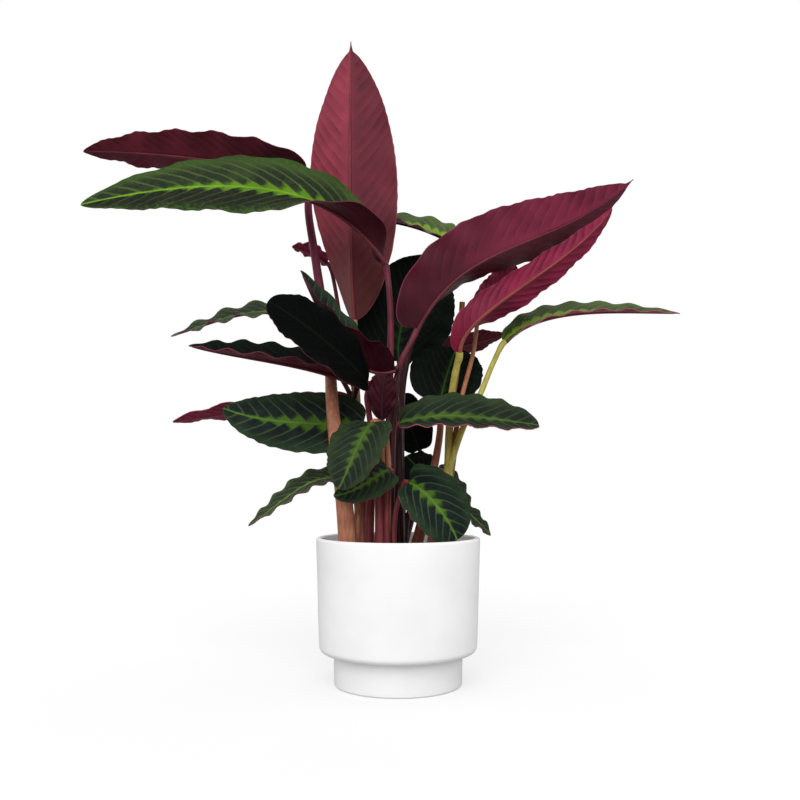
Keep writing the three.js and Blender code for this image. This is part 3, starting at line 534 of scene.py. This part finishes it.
# Leaf shapes in mm and degrees: midrib points, half width, where the green face looks (top), fold of
# each side at the base and at the tip, powers that narrow the base and the tip (shape), height and
# number of the edge waves, and where the drip tip starts (ends), as a share of the length
leafForm = {
    "leaf_01": {
        "face": "patterned", "back": "rose", "rib": "brown", "veinGap": 17, "puff": 0.45,
        "mid": [[-50, 15, 399], [-55, 20, 510], [-56, 28, 622], [-56, 36, 735]],
        "width": 55, "top": [[0, 1, 0.05], [0, 1, 0.1]],
        "fold": [8, 68], "foldTip": [8, 25], "foldEnd": 0.65, "shape": [0.65, 0.7],
        "wave": 2, "waves": 5, "lobe": 0.05, "ends": 0.965,
    },
    "leaf_02": {
        "face": "patterned", "back": "wine", "rib": "wine", "veinGap": 15,
        "mid": [[-105, 8, 566], [-192, 16, 582], [-281, 22, 594], [-366, 28, 599]],
        "width": 34, "top": [[0, 0.5, 0.87], [0, 0.6, 0.8]],
        "fold": 12, "shape": [0.42, 0.75],
        "wave": 3, "waves": 6,
    },
    "leaf_03": {
        "face": "vivid", "back": "wine", "rib": "wine", "veinGap": 20, "sweep": 1.5,
        "mid": [[-16, -20, 458], [-92, -50, 517], [-204, -62, 529], [-336, -60, 510]],
        "width": 43, "top": [[-0.5, -0.1, 0.85], [-0.1, -0.85, 0.45], [0, -0.88, 0.45]],
        "fold": [70, 46], "foldTip": [8, 4], "foldEnd": 0.58, "shape": [0.65, 0.72],
        "wave": 1.8, "waves": 7, "lobe": 0.05,
    },
    "leaf_04": {
        "face": "lime", "back": "wine", "rib": "wine", "veinGap": 13,
        "mid": [[60, 38, 497], [31, 52, 513], [-12, 68, 527], [-64, 74, 524]],
        "width": 34, "top": [[0, -0.35, 0.93], [0, -0.35, 0.93]],
        "fold": 15, "shape": [0.45, 0.8],
        "wave": 2, "waves": 5,
    },
    "leaf_05": {
        "face": "dark", "back": "claret", "rib": "wine", "veinGap": 17,
        "mid": [[21, -30, 382], [86, -34, 452], [169, -26, 491], [262, -12, 553]],
        "width": 47, "top": [[-0.36, 0.8, 0.42], [-0.36, 0.8, 0.42]],
        "fold": [58, 35], "foldTip": 25, "shape": [0.42, 0.65],
        "wave": 2, "waves": 8, "lobe": 0.6, "ends": 0.975,
    },
    "leaf_06": {
        "face": "patterned", "back": "crimson", "rib": "yellow", "veinGap": 13,
        "mid": [[67, -14, 359], [100, -24, 404], [170, -30, 454], [233, -32, 514]],
        "width": 24, "top": [[-0.3, 0.85, 0.4], [-0.2, 0.85, 0.4]],
        "fold": [80, 8], "foldTip": [15, 64], "foldEnd": 0.5, "shape": [0.65, 0.8],
        "wave": 2, "waves": 6, "lobe": 0,
    },
    "leaf_07": {
        "face": "dark", "back": "crimson", "rib": "wine", "veinGap": 9,
        "mid": [[94, 22, 404], [106, 27, 422], [119, 30, 442], [136, 30, 465]],
        "width": 20, "top": [[0, 0.85, 0.4], [0, 0.9, 0.4]],
        "fold": 12, "shape": [0.5, 0.6],
        "wave": 2, "waves": 4,
    },
    "leaf_08": {
        "face": "dark", "back": "wine", "rib": "wine", "veinGap": 14,
        "mid": [[1, 52, 357], [4, 66, 401], [20, 80, 447], [38, 94, 493]],
        "width": 60, "top": [[0.1, -0.8, 0.6], [0.1, -0.8, 0.6]],
        "fold": 12, "shape": [0.55, 0.75],
        "wave": 2, "waves": 5,
    },
    "leaf_09": {
        "face": "black", "back": "wine", "rib": "wine", "veinGap": 14,
        "mid": [[-32, -56, 321], [-62, -88, 350], [-98, -102, 378], [-130, -106, 398]],
        "width": 30, "top": [[0.3, -0.8, 0.5], [0.1, -0.85, 0.5]],
        "fold": 8, "shape": [0.5, 0.55],
        "wave": 2, "waves": 4,
    },
    "leaf_10": {
        "face": "patterned", "back": "crimson", "rib": "wine", "veinGap": 8,
        "mid": [[-86, 74, 478], [-99, 75, 488], [-113, 75, 494], [-128, 74, 498]],
        "width": 14, "top": [[0, 0.4, 0.9], [0, 0.4, 0.9]],
        "fold": 10, "shape": [0.5, 0.7],
        "wave": 2, "waves": 4,
    },
    "leaf_11": {
        "face": "patterned", "back": "deep", "rib": "wine", "veinGap": 12,
        "mid": [[-3, -40, 337], [-42, -44, 343], [-76, -40, 385], [-106, -30, 446]],
        "width": 34, "top": [[0.3, -0.1, 0.95], [0.75, -0.2, 0.6]],
        "fold": [72, 25], "foldTip": [26, 60], "shape": [0.45, 0.8],
        "wave": 2, "waves": 5,
    },
    "leaf_12": {
        "face": "dark", "back": "deep", "rib": "deep", "veinGap": 9,
        "mid": [[-17, -54, 283], [-17, -59, 298], [-16, -61, 315], [-13, -60, 330]],
        "width": 15, "top": [[0, 0.9, 0.3], [0, 0.9, 0.3]],
        "fold": 12, "shape": [0.75, 0.45],
        "wave": 1.5, "waves": 3,
    },
    "leaf_13": {
        "face": "dusty", "back": "wine", "rib": "wine", "veinGap": 13,
        "mid": [[-104, 6, 391], [-152, 8, 407], [-205, 10, 397], [-256, 12, 380]],
        "width": 24, "top": [[0, -0.5, 0.87], [0, -0.4, 0.9]],
        "fold": 10, "shape": [0.5, 0.8],
        "wave": 3, "waves": 5,
    },
    "leaf_14": {
        "face": "dark", "back": "wine", "rib": "wine", "veinGap": 13,
        "mid": [[-50, -14, 325], [-104, -34, 340], [-166, -46, 350], [-222, -48, 361]],
        "width": 26, "top": [[0, 0, 1], [0, -0.1, 0.99]],
        "fold": [10, 54], "shape": [0.5, 0.8],
        "wave": 2.2, "waves": 6,
    },
    "leaf_15": {
        "face": "mossy", "back": "wine", "rib": "wine", "veinGap": 11,
        "mid": [[-27, -60, 279], [-37, -80, 262], [-47, -91, 238], [-59, -96, 211]],
        "width": 31, "top": [[-0.3, -0.75, 0.6], [-0.3, -0.95, 0.2]],
        "fold": 6, "shape": [0.42, 0.6],
        "wave": 2, "waves": 5,
    },
    "leaf_16": {
        "face": "patterned", "back": "crimson", "rib": "wine", "veinGap": 12,
        "mid": [[-54, 28, 312], [-113, 38, 305], [-192, 44, 296], [-260, 44, 285]],
        "width": 22, "top": [[0, 0.3, 0.95], [0, 0.4, 0.9]],
        "fold": 8, "shape": [0.5, 0.7],
        "wave": 2, "waves": 5,
    },
    "leaf_17": {
        "face": "patterned", "back": "wine", "rib": "wine", "veinGap": 17,
        "mid": [[-38, -18, 278], [-88, -18, 280], [-140, -19, 284], [-190, -18, 297]],
        "width": 37, "top": [[0, -0.88, 0.45], [0, -0.9, 0.4]],
        "fold": 5, "shape": [0.38, 0.66],
        "wave": 1, "waves": 6,
    },
    "leaf_18": {
        "face": "dusty", "back": "wine", "rib": "wine", "veinGap": 12,
        "mid": [[-57, -8, 216], [-90, -14, 218], [-124, -24, 197], [-158, -36, 171]],
        "width": 23, "top": [[0, -0.4, 0.91], [-0.6, -0.35, 0.7]],
        "fold": 10, "shape": [0.4, 0.7],
        "wave": 2, "waves": 6,
    },
    "leaf_19": {
        "face": "mossy", "back": "wine", "rib": "wine", "veinGap": 9,
        "mid": [[-10, -46, 230], [-24, -58, 222], [-44, -65, 210], [-66, -70, 204]],
        "width": 21, "top": [[0, -0.9, 0.4], [-0.1, -0.9, 0.4]],
        "fold": 8, "shape": [0.45, 0.75],
        "wave": 1.5, "waves": 4,
    },
    "leaf_20": {
        "face": "mossy", "back": "crimson", "rib": "wine", "veinGap": 14,
        "mid": [[2, -34, 280], [47, -42, 287], [97, -46, 284], [149, -44, 277]],
        "width": 33, "top": [[0, -0.62, 0.78], [0, -0.62, 0.78]],
        "fold": 2, "curl": [20, 32], "shape": [0.45, 0.5],
        "wave": 2, "waves": 6,
    },
    "leaf_21": {
        "face": "patterned", "back": "crimson", "rib": "wine", "veinGap": 12,
        "mid": [[12, -44, 217], [28, -54, 206], [46, -60, 185], [61, -56, 158]],
        "width": 32, "top": [[0.1, -0.8, 0.6], [0.2, -0.95, 0.3]],
        "fold": [60, 8], "foldTip": [0, 8], "foldEnd": 0.9, "shape": [0.45, 0.42],
        "wave": 1.5, "waves": 5,
    },
    "leaf_22": {
        "face": "mossy", "back": "crimson", "rib": "wine", "veinGap": 8,
        "mid": [[46, 12, 231], [58, 13, 222], [69, 12, 206], [79, 10, 189]],
        "width": 16, "top": [[0.4, -0.3, 0.8], [0.4, -0.3, 0.8]],
        "fold": 10, "shape": [0.5, 0.6],
        "wave": 2, "waves": 4,
    },
    "leaf_23": {
        "face": "mossy", "back": "crimson", "rib": "wine", "veinGap": 8,
        "mid": [[58, -26, 192], [70, -26, 187], [84, -24, 176], [99, -20, 160]],
        "width": 13, "top": [[0, -0.5, 0.85], [0.4, -0.6, 0.7]],
        "fold": 10, "shape": [0.5, 0.7],
        "wave": 2, "waves": 4,
    },
    "leaf_24": {
        "face": "dark", "back": "wine", "rib": "wine", "veinGap": 11,
        "mid": [[48, 19, 309], [54, 29, 333], [61, 39, 354], [68, 48, 371]],
        "width": 42, "top": [[0, -0.75, 0.65], [0, -0.75, 0.65]],
        "fold": 12, "shape": [0.42, 0.6],
        "wave": 2, "waves": 5,
    },
    "leaf_25": {
        "face": "dark", "back": "wine", "rib": "wine", "veinGap": 10,
        "mid": [[21, 72, 364], [56, 78, 374], [92, 80, 383], [127, 80, 393]],
        "width": 20, "top": [[0, 0.6, 0.8], [0, 0.6, 0.8]],
        "fold": 5, "shape": [0.5, 0.7],
        "wave": 2, "waves": 4,
    },
    "leaf_26": {
        "face": "lime", "back": "crimson", "rib": "yellow", "veinGap": 14,
        "mid": [[120, 8, 374], [172, 14, 402], [243, 18, 409], [320, 18, 407]],
        "width": 29, "top": [[0, -0.25, 0.95], [0, -0.25, 0.95]],
        "fold": [20, 10], "shape": [0.65, 0.8],
        "wave": 1.6, "waves": 7,
    },
    "leaf_27": {
        "face": "black", "back": "wine", "rib": "wine", "veinGap": 10,
        "mid": [[25, 60, 253], [16, 64, 276], [11, 68, 298], [14, 74, 321]],
        "width": 24, "top": [[0, -0.85, 0.5], [0, -0.85, 0.5]],
        "fold": 10, "shape": [0.45, 0.6],
        "wave": 1.5, "waves": 4,
    },
    "leaf_28": {
        "face": "dark", "back": "wine", "rib": "wine", "veinGap": 9,
        "mid": [[29, 30, 219], [23, 36, 230], [16, 42, 239], [9, 50, 246]],
        "width": 22, "top": [[0, -0.8, 0.6], [0, -0.8, 0.6]],
        "fold": 10, "shape": [0.45, 0.6],
        "wave": 1.5, "waves": 4,
    },
}

# Stems in mm: each petiole rises from its clump in the soil and runs into a leaf
stemForm = {
    "stem_left": {
        "at": [-50, -38], "radius": 12,
        "petioles": [
            {"leaf": "leaf_02", "look": "salmon", "r": [10, 4.2],
             "path": [[-52, -41, 143.5], [-57, -48, 202], [-64, -49, 250], [-71, -28, 302],
                      [-76, 3, 345], [-82, 8, 392], [-94, 5, 472], [-102, 7, 526]]},
            {"leaf": "leaf_18", "look": "salmon", "r": [5, 2.6],
             "path": [[-46, -35, 143.5], [-44, -26, 190]]},
        ],
    },
    "stem_rear_left": {
        "at": [-36, -12], "radius": 10.5,
        "petioles": [
            {"leaf": "leaf_01", "look": "olive", "r": [9, 3.4],
             "path": [[-37, -12, 143.5], [-41, 0, 197], [-46, 15, 298], [-49, 16, 360]]},
            {"leaf": "leaf_17", "look": "maroon", "r": [7, 2.6],
             "path": [[-33, -14, 143.5], [-29, -15, 230]]},
            {"leaf": "leaf_16", "look": "maroon", "r": [6, 2.4],
             "path": [[-34, -6, 143.5], [-37, 8, 230]]},
            {"leaf": "leaf_14", "look": "dark", "r": [6, 2.8],
             "path": [[-38, -14, 143.5], [-45, 5, 230], [-52, 8, 296]]},
            {"leaf": "leaf_13", "look": "dark", "r": [5.5, 2.4],
             "path": [[-33, -12, 143.5], [-39, 8, 230], [-44, 10, 290], [-74, 23, 350]]},
            {"leaf": "leaf_10", "look": "maroon", "r": [4.5, 2.4],
             "path": [[-36, -6, 143.5], [-46, 28, 290], [-67, 60, 400]]},
        ],
    },
    "stem_centre": {
        "at": [-14, -29], "radius": 13,
        "petioles": [
            {"leaf": "leaf_05", "look": "maroon", "r": [10.5, 2.9],
             "path": [[-16, -28, 143.5], [-13, -27, 219], [-7, -28, 278], [2, -32, 343],
                      [12, -32, 364]]},
            {"leaf": "leaf_03", "look": "maroon", "r": [7, 3.2],
             "path": [[-10, -24, 143.5], [-9, -22, 262], [-9, -20, 335], [-8, -20, 393],
                      [-10, -20, 427]]},
            {"leaf": "leaf_09", "look": "maroon", "r": [6.5, 2.8],
             "path": [[-18, -34, 143.5], [-22, -33, 230], [-31, -40, 290], [-33, -48, 308]]},
            {"leaf": "leaf_12", "look": "salmon", "r": [4.5, 2.4],
             "path": [[-16, -26, 143.5], [-15, -30, 220], [-17, -44, 262]]},
            {"leaf": "leaf_11", "look": "dark", "r": [5, 2.8],
             "path": [[-8, -34, 143.5], [-6, -36, 270], [-2, -39, 310]]},
            {"leaf": "leaf_15", "look": "salmon", "r": [4.5, 2.4],
             "path": [[-12, -36, 143.5], [-10, -38, 240], [-16, -46, 278]]},
            {"leaf": "leaf_20", "look": "maroon", "r": [4.5, 2.6],
             "path": [[-8, -32, 143.5], [-6, -32, 230], [-5, -32, 262]]},
            {"leaf": "leaf_19", "look": "maroon", "r": [4, 2.2],
             "path": [[-12, -38, 143.5], [-11, -40, 200]]},
            {"leaf": "leaf_21", "look": "maroon", "r": [4, 2.4],
             "path": [[-6, -34, 143.5], [-2, -38, 190]]},
        ],
    },
    "stem_back": {
        "at": [1, 12], "radius": 10,
        "petioles": [
            {"leaf": "leaf_08", "look": "dark", "r": [8, 2.9],
             "path": [[0, 8, 143.5], [1, 10, 274], [1, 28, 326]]},
            {"leaf": "leaf_04", "look": "dark", "r": [6.5, 2.8],
             "path": [[3, 14, 143.5], [3, 20, 300], [8, 20, 345], [24, 24, 400], [46, 28, 450]]},
            {"leaf": "leaf_27", "look": "dark", "r": [4, 2.2],
             "path": [[6, 18, 143.5], [20, 50, 190], [26, 60, 230]]},
            {"leaf": "leaf_28", "look": "dark", "r": [4, 2.2],
             "path": [[6, 12, 143.5], [14, 20, 190]]},
            {"leaf": "leaf_25", "look": "dark", "r": [4.5, 2.6],
             "path": [[-3, 18, 143.5], [-20, 50, 250], [-14, 64, 310]]},
        ],
    },
    "stem_rear_right": {
        "at": [20, -1], "radius": 8,
        "petioles": [
            {"leaf": "leaf_24", "look": "brown", "r": [6.5, 3.6],
             "path": [[19, 0, 143.5], [38, 4, 224], [47, 14, 275]]},
            {"leaf": "leaf_22", "look": "brown", "r": [4, 2.2],
             "path": [[22, -2, 143.5], [36, 8, 200]]},
        ],
    },
    "stem_right": {
        "at": [37, -21], "radius": 9,
        "petioles": [
            {"leaf": "leaf_06", "look": "yellow", "r": [7, 3.6],
             "path": [[35, -20, 143.5], [53, -18, 219], [56, -6, 269], [58, 0, 303], [63, -7, 338]]},
            {"leaf": "leaf_26", "look": "yellow", "r": [5, 3],
             "path": [[38, -18, 143.5], [54, -18, 225], [70, -12, 274], [89, -4, 310], [105, 4, 347]]},
            {"leaf": "leaf_07", "look": "brown", "r": [4.5, 2.4],
             "path": [[40, -18, 143.5], [58, -14, 230], [68, 0, 300], [84, 12, 360]]},
            {"leaf": "leaf_23", "look": "yellow", "r": [4, 2],
             "path": [[38, -24, 143.5], [44, -28, 165]]},
        ],
    },
}

# Blade: sizes in mm. Pleats puff up between the side veins and end in scallops at the edge
blade = {"thickness": 0.8, "base": 2.7, "tip": 0.5, "dripTip": 2.4, "sideShift": 1.1,
         "puff": 0.6, "scallop": 0.5, "uneven": 0.4, "sweep": 0.9, "veinCurve": 0.55,
         "sideOffset": 0.37, "firstVein": 8, "acrossCells": 28, "cellsPerVein": 8,
         "fewestRows": 48, "mostRows": 190}
rib = {"steps": 36, "end": 0.97, "share": 0.62, "thinnest": 0.3, "depth": 0.85}


# The handles of a curve that runs through four points, a third of the way apart
def midribOf(points):
    p0, a, b, p3 = [Vector(p) for p in points]
    c1 = (p0 * -5 + a * 18 - b * 9 + p3 * 2) / 6
    c2 = (p0 * 2 - a * 9 + b * 18 - p3 * 5) / 6
    return p0, c1, c2, p3


def onMidrib(knots, s):
    p0, c1, c2, p3 = knots
    t = 1 - s
    place = p0 * t ** 3 + c1 * (3 * t * t * s) + c2 * (3 * t * s * s) + p3 * s ** 3
    way = (c1 - p0) * (t * t) + (c2 - c1) * (2 * t * s) + (p3 - c2) * (s * s)
    return place, way.normalized()


def lengthOf(knots):
    spots = [onMidrib(knots, i / 40)[0] for i in range(41)]
    return sum((b - a).length for a, b in zip(spots, spots[1:]))


def both(value):
    return value if isinstance(value, list) else [value, value]


def stationOf(form, knots, s):
    place, way = onMidrib(knots, s)
    tops = form["top"]
    k = min(int(s * (len(tops) - 1)), len(tops) - 2)
    up = Vector(tops[k]).lerp(Vector(tops[k + 1]), s * (len(tops) - 1) - k)
    up = (up - way * up.dot(way)).normalized()
    a, b = form["shape"]
    peak = a / (a + b)
    ends = form.get("ends", 1)
    run = min(1, s / ends)
    swell = run ** a * (1 - run) ** b / (peak ** a * (1 - peak) ** b)
    half = form["width"] * swell + (blade["base"] - blade["tip"]) * (1 - s) ** 8 + blade["tip"]
    if ends < 1:
        left = min(1, (1 - s) / (1 - ends))   # 1 where the drip tip starts, 0 at its point
        half = max(half, blade["dripTip"] * left ** 1.4)
    return place, way, up, way.cross(up), swell, half


# A point of the blade: s runs from base to tip, v from one edge (-1) to the other (1)
def shapeBlade(form, station, length, s, v):
    place, way, up, out, swell, half = station
    which = 0 if v < 0 else 1
    sign = 2 * which - 1
    reach = abs(v)
    first = both(form["fold"])[which]
    last = both(form.get("foldTip", form["fold"]))[which]
    opening = softStep(0, form.get("foldEnd", 1), s)
    curl = both(form.get("curl", 0))[which]
    angle = math.radians(first + (last - first) * opening + curl * reach / 2)
    ease = min(1, 6 * s * (1 - s))   # no waves or pleats at either end
    turn = 2 * math.pi * form["waves"] * s + blade["sideShift"] * sign
    lift = form["wave"] * reach ** 3 * math.sin(turn) * ease
    drop = form.get("lobe", 0.25) * (1 - s) ** 3 * reach * reach * form["width"] * swell
    away = reach * half
    bend = form.get("sweep", blade["sweep"]) * away
    vein = (s * length - bend - blade["veinCurve"] * away * away / form["width"]) / form["veinGap"]
    vein += blade["sideOffset"] * which + blade["firstVein"]
    part = vein - math.floor(vein)
    window = softStep(0.03, 0.3, reach) * (1 - 0.35 * softStep(0.8, 1, reach)) * ease
    strength = form.get("puff", 1) * (1 + blade["uneven"] * math.sin(1.7 * vein + 2.1 * which))
    puff = blade["puff"] * strength * window * (math.sin(math.pi * part) ** 0.7 - 0.5)
    border = softStep(0.75, 1, reach) * ease
    notch = blade["scallop"] * strength * border * math.sin(2 * math.pi * (part + 0.2))
    face = up * math.cos(angle) - out * (sign * math.sin(angle))
    spot = place + out * (sign * (away + notch) * math.cos(angle)) - way * drop
    spot = spot + up * (away * math.sin(angle) + lift) + face * puff
    return spot, vein, away


def makeBlade(name, form):
    knots = midribOf(form["mid"])
    length = lengthOf(knots)
    rows = blade["cellsPerVein"] * length / form["veinGap"]
    rows = int(min(blade["mostRows"], max(blade["fewestRows"], rows)))
    clearSelection()
    bpy.ops.mesh.primitive_grid_add(x_subdivisions=rows, y_subdivisions=blade["acrossCells"], size=1)
    sheet = bpy.context.object
    mesh = sheet.data
    values = {key: [] for key in ("along", "across", "side", "vein", "away")}
    stations = {}
    for vertex in mesh.vertices:
        t = vertex.co.x + 0.5
        v = -2 * vertex.co.y
        key = round(t * rows)
        if key not in stations:
            s = min(1, max(0, 0.45 * t + 0.55 * (1 - math.cos(math.pi * t)) / 2))   # closer at the ends
            stations[key] = (s, stationOf(form, knots, s))
        s, station = stations[key]
        spot, vein, away = shapeBlade(form, station, length, s, v)
        vertex.co = spot * mm
        for key, value in zip(values, (s, abs(v), v, vein, away)):
            values[key].append(value)
    for key, numbers in values.items():
        mesh.attributes.new(key, "FLOAT", "POINT").data.foreach_set("value", numbers)
    mesh.materials.append(facePaint[form["face"]])
    mesh.materials.append(backPaint[form["back"]])
    makeActive(sheet)
    wall = sheet.modifiers.new("thickness", "SOLIDIFY")
    wall.thickness = blade["thickness"] * mm
    wall.offset = 0
    wall.use_even_offset = False
    wall.material_offset = 1
    wall.material_offset_rim = 1
    bpy.ops.object.modifier_apply(modifier="thickness")
    return sheet, knots


def tube(name, places, radii, paint, round=2):
    curve = bpy.data.curves.new(name, "CURVE")
    curve.dimensions = "3D"
    curve.bevel_depth = 1
    curve.bevel_resolution = round
    curve.use_fill_caps = True
    line = curve.splines.new("POLY")
    line.points.add(len(places) - 1)
    for point, place, radius in zip(line.points, places, radii):
        point.co = (*(place * mm), 1)
        point.radius = radius * mm
    curve.materials.append(paint)
    piece = bpy.data.objects.new(name, curve)
    bpy.context.collection.objects.link(piece)
    makeActive(piece)
    bpy.ops.object.convert(target="MESH")
    return bpy.context.object


petioleEnd = {}   # radius of the petiole where each leaf starts
for clump in stemForm.values():
    for petiole in clump["petioles"]:
        petioleEnd[petiole["leaf"]] = petiole["r"][1]

for name, form in leafForm.items():
    sheet, knots = makeBlade(name, form)
    places, radii = [], []
    for i in range(rib["steps"] + 1):
        s = rib["end"] * i / rib["steps"]
        place, way, up, out, swell, half = stationOf(form, knots, s)
        radius = rib["share"] * petioleEnd[name] * (1 - s) ** 0.8 + rib["thinnest"]
        places.append(place - up * radius * rib["depth"])
        radii.append(radius)
    midrib = tube(name + "_rib", places, radii, ribPaint[form["rib"]])
    leaf = joinPieces([sheet, midrib], name + "_blade")
    bpy.ops.object.shade_smooth_by_angle(angle=math.radians(60))
    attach(leaf, "root")
    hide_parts(name)
print("leaves ready:", len(leafForm))

# Stalk colours: low and high, the heights in mm where one turns into the other, low and high streaks
stalkLook = {
    "salmon": (tint(164, 100, 80), tint(108, 42, 62), 300, 430, tint(170, 140, 104), tint(88, 32, 50)),
    "olive": (tint(146, 86, 66), tint(168, 142, 88), 190, 270, tint(150, 110, 78), tint(128, 84, 64)),
    "maroon": (tint(124, 58, 60), tint(102, 42, 54), 220, 380, tint(96, 40, 48), tint(78, 30, 40)),
    # dark: partly the stalks' own dark brown, partly painted shade for stalks that stand in the plant's
    # shadow
    "dark": (tint(54, 28, 28), tint(58, 26, 34), 200, 380, tint(36, 20, 23), tint(40, 18, 24)),
    "brown": (tint(132, 78, 58), tint(158, 104, 74), 200, 330, tint(112, 62, 50), tint(120, 74, 54)),
    "yellow": (tint(160, 88, 72), tint(172, 164, 78), 165, 215, tint(176, 120, 84), tint(150, 128, 70)),
}
stalkPaint = {name: paintStalk(name, *look) for name, look in stalkLook.items()}
# The crown is where the stalks of a clump meet at the soil: height over the soil, and cut off the radius
stalk = {"neck": 5, "knee": 15, "kneeSwell": 0.16, "steps": 14,
         "crown": [(-38, 0), (1, 0), (3, 0.8), (4, 2.2)]}
cutStalk = {"clump": "stem_right", "look": "brown", "r": [3.2, 2.8],
            "path": [[56, -6, 262], [61, 4, 310], [67, 6, 350], [72, 6, 418]]}


# A smooth line through all the points, which doesn't loop where they come close together
def smoothPath(points, steps):
    spots = [Vector(p) for p in points]
    ends = [spots[0] * 2 - spots[1]] + spots + [spots[-1] * 2 - spots[-2]]
    path = []
    for a, b, c, d in zip(ends, ends[1:], ends[2:], ends[3:]):
        t0, t1, t2 = [max(0.01, math.sqrt((q - p).length)) for p, q in ((a, b), (b, c), (c, d))]
        m1 = ((b - a) / t0 - (c - a) / (t0 + t1) + (c - b) / t1) * t1
        m2 = ((c - b) / t1 - (d - b) / (t1 + t2) + (d - c) / t2) * t1
        for i in range(steps):
            t = i / steps
            path.append(b * (2 * t ** 3 - 3 * t * t + 1) + m1 * (t ** 3 - 2 * t * t + t)
                        + c * (3 * t * t - 2 * t ** 3) + m2 * (t ** 3 - t * t))
    path.append(spots[-1])
    return [p for p, q in zip(path, path[1:]) if (q - p).length > 0.4] + [path[-1]]


# Thick at the soil, thinner above, with a slight knee under the leaf
def stalkRadii(path, low, high):
    run = [0]
    for a, b in zip(path, path[1:]):
        run.append(run[-1] + (b - a).length)
    radii = []
    for far in run:
        left = run[-1] - far
        radius = high + (low - high) * (1 - far / run[-1]) ** 1.6
        radii.append(radius * (1 + stalk["kneeSwell"] * softStep(stalk["knee"], stalk["knee"] * 0.5, left)))
    return radii


for name, clump in stemForm.items():
    x, y = clump["at"]
    levels = [Vector((x, y, soil["top"] + rise)) for rise, cut in stalk["crown"]]
    radii = [clump["radius"] - cut for rise, cut in stalk["crown"]]
    pieces = [tube(name + "_crown", levels, radii, stalkPaint[clump["petioles"][0]["look"]], 5)]
    for petiole in clump["petioles"]:
        place, way = onMidrib(midribOf(leafForm[petiole["leaf"]]["mid"]), 0)
        points = petiole["path"] + [place - way * stalk["neck"], place - way * 0.2]
        path = smoothPath(points, stalk["steps"])
        pieces.append(tube(petiole["leaf"] + "_petiole", path, stalkRadii(path, *petiole["r"]),
                           stalkPaint[petiole["look"]], 3))
    if name == cutStalk["clump"]:
        path = smoothPath(cutStalk["path"], stalk["steps"])
        pieces.append(tube("cut_petiole", path, stalkRadii(path, *cutStalk["r"]),
                           stalkPaint[cutStalk["look"]], 3))
    stem = joinPieces(pieces, name + "_stalks")
    bpy.ops.object.shade_smooth_by_angle(angle=math.radians(50))
    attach(stem, "root")
    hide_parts(name)
print("stems ready:", len(stemForm))
